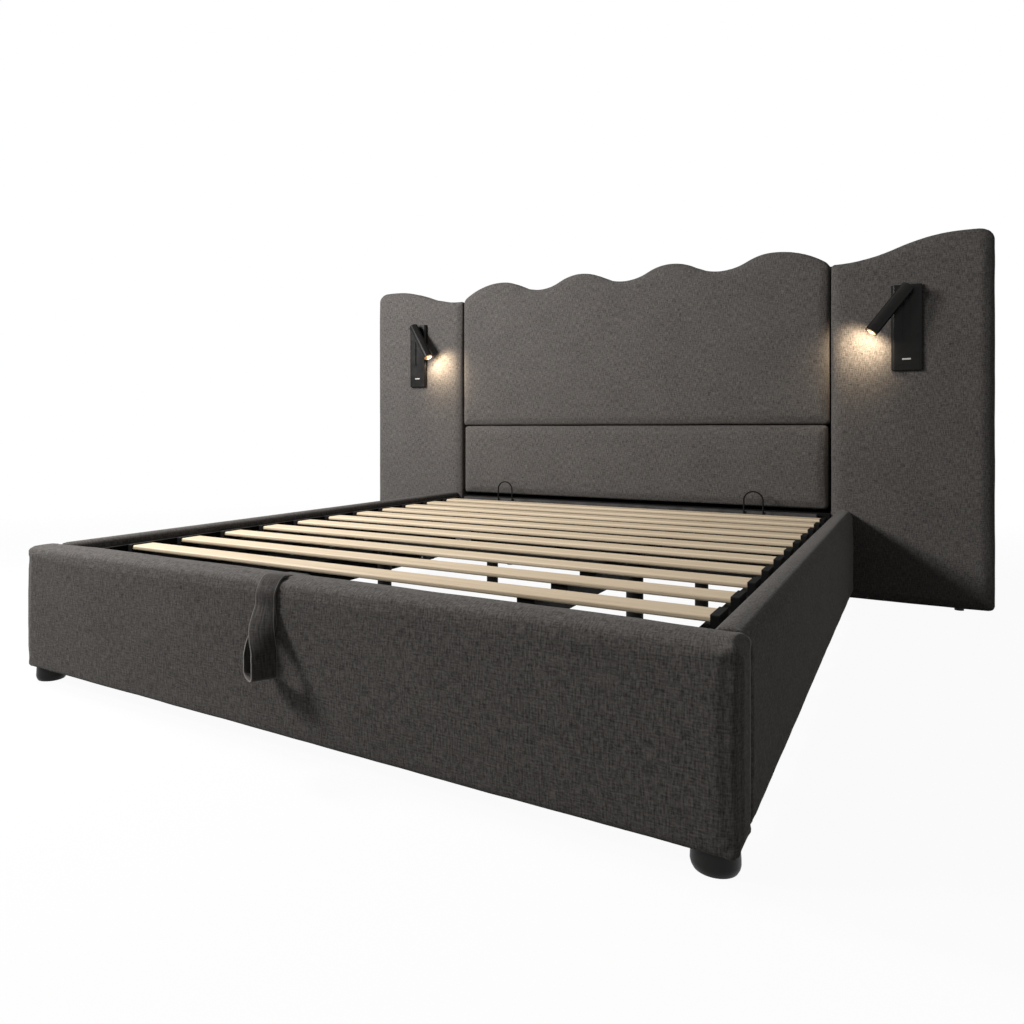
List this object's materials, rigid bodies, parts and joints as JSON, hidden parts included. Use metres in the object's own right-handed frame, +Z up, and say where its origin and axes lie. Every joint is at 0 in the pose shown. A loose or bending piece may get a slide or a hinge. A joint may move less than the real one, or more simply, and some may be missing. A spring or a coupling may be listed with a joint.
{
  "type": "storage bed",
  "caption": "Upholstered lift-up storage bed: slatted steel frame on gas springs, padded rails, wide scalloped headboard with wings and swivelling reading lamps.",
  "frame": {"origin": "on the floor, at the middle of the whole footprint", "axes": "+X across the bed to its right side seen from the foot, +Y from the foot to the headboard, +Z up"},
  "size_m": [2.64, 2.293, 1.37],
  "materials": {
    "upholstery": "melange woven cloth, charcoal grey-brown, over foam",
    "black_cloth": "thin black lining cloth",
    "webbing": "folded strap of dark cloth webbing",
    "carcass_board": "plain board, raw",
    "beech": "light beech, fine straight grain, satin",
    "black_steel": "black powder coat, satin",
    "zinc_steel": "zinc plated, dull",
    "polished_rod": "ground and plated",
    "holder_plastic": "black moulded plastic, matt",
    "foot_plastic": "black moulded plastic, satin",
    "lamp_black": "black anodised, satin",
    "button_plastic": "pale grey, smooth",
    "warm_lens": "frosted, lit warm white"
  },
  "bodies": {
    "root": {"bun_feet": "foot_plastic", "corner_brackets": "zinc_steel", "corner_screws": "zinc_steel", "foot_panel_core": "carcass_board", "foot_panel_padding": "upholstery", "head_rail_board": "carcass_board", "headboard_back_cloth": "black_cloth", "headboard_centre_board": "carcass_board", "headboard_glides": "foot_plastic", "lamp_back_plates": "lamp_black", "left_lamp_cover": "lamp_black", "left_rail_board": "carcass_board", "left_rail_padding": "upholstery", "left_wing_padding": "upholstery", "lift_base_plates": "black_steel", "lift_plate_screws": "zinc_steel", "lower_cushion": "upholstery", "right_lamp_cover": "lamp_black", "right_rail_board": "carcass_board", "right_rail_padding": "upholstery", "right_wing_padding": "upholstery", "storage_lining": "black_cloth", "upper_cushion": "upholstery", "wing_boards": "carcass_board"},
    "lift_frame": {"centre_tubes": "black_steel", "cross_tubes": "black_steel", "foot_tube": "black_steel", "gas_spring_brackets": "black_steel", "head_tube": "black_steel", "left_side_tube": "black_steel", "mattress_hoops": "black_steel", "pull_strap": "webbing", "right_side_tube": "black_steel", "slat_01": "beech", "slat_02": "beech", "slat_03": "beech", "slat_04": "beech", "slat_05": "beech", "slat_06": "beech", "slat_07": "beech", "slat_08": "beech", "slat_09": "beech", "slat_10": "beech", "slat_11": "beech", "slat_holders": "holder_plastic", "slat_pads": "holder_plastic", "support_legs": "black_steel"},
    "long_arms": {"long_arms": "zinc_steel"},
    "short_arms": {"short_arms": "zinc_steel"},
    "gas_cylinders": {"gas_cylinders": "black_steel"},
    "gas_rods": {"gas_rods": "polished_rod"},
    "left_lamp_knuckle": {"left_lamp_knuckle": "lamp_black"},
    "left_lamp_head": {"left_lamp_head": "lamp_black", "left_lamp_lens": "warm_lens"},
    "left_lamp_button": {"left_lamp_button": "button_plastic"},
    "right_lamp_knuckle": {"right_lamp_knuckle": "lamp_black"},
    "right_lamp_head": {"right_lamp_head": "lamp_black", "right_lamp_lens": "warm_lens"},
    "right_lamp_button": {"right_lamp_button": "button_plastic"}
  },
  "joints": [
    {"name": "lift", "type": "hinge", "parent": "root", "child": "long_arms", "pos_m": [0, 0.8115, 0.282], "axis": [-1, 0, 0], "range_deg": [0, 23.35]},
    {"name": "frame_tilt", "type": "hinge", "parent": "long_arms", "child": "lift_frame", "pos_m": [0, 0.3245, 0.2875], "axis": [-1, 0, 0], "range_deg": [0, 14.7]},
    {"name": "short_arm_turn", "type": "hinge", "parent": "root", "child": "short_arms", "pos_m": [0, 0.7105, 0.282], "axis": [-1, 0, 0], "range_deg": [0, 50.3]},
    {"name": "gas_spring_turn", "type": "hinge", "parent": "root", "child": "gas_cylinders", "pos_m": [0, 0.7335, 0.08], "axis": [-1, 0, 0], "range_deg": [0, 17.6]},
    {"name": "gas_spring_stroke", "type": "slide", "parent": "gas_cylinders", "child": "gas_rods", "axis": [0, -0.9287, 0.3709], "range_m": [0, 0.1025]},
    {"name": "right_lamp_swivel", "type": "hinge", "parent": "root", "child": "right_lamp_knuckle", "pos_m": [1.0645, 0.9952, 1.165], "axis": [0, 1, 0], "range_deg": [-125.5, 54.5]},
    {"name": "right_lamp_tilt", "type": "hinge", "parent": "right_lamp_knuckle", "child": "right_lamp_head", "pos_m": [1.0645, 0.9952, 1.165], "axis": [-0.8141, 0, 0.5807], "range_deg": [-12, 78]},
    {"name": "right_lamp_press", "type": "slide", "parent": "root", "child": "right_lamp_button", "axis": [0, 1, 0], "range_m": [0, 0.0012], "stiffness_N_per_m": 800},
    {"name": "left_lamp_swivel", "type": "hinge", "parent": "root", "child": "left_lamp_knuckle", "pos_m": [-1.0645, 0.9952, 1.165], "axis": [0, -1, 0], "range_deg": [-125.5, 54.5]},
    {"name": "left_lamp_tilt", "type": "hinge", "parent": "left_lamp_knuckle", "child": "left_lamp_head", "pos_m": [-1.0645, 0.9952, 1.165], "axis": [-0.8141, 0, -0.5807], "range_deg": [-12, 78]},
    {"name": "left_lamp_press", "type": "slide", "parent": "root", "child": "left_lamp_button", "axis": [0, 1, 0], "range_m": [0, 0.0012], "stiffness_N_per_m": 800}
  ],
  "couplings": [
    {"joint": "frame_tilt", "follows": "lift", "ratio": 0.6273},
    {"joint": "short_arm_turn", "follows": "lift", "ratio": 2.1513},
    {"joint": "gas_spring_turn", "follows": "lift", "ratio": 0.7491},
    {"joint": "gas_spring_stroke", "follows": "lift", "m_per_rad": 0.24958}
  ]
}
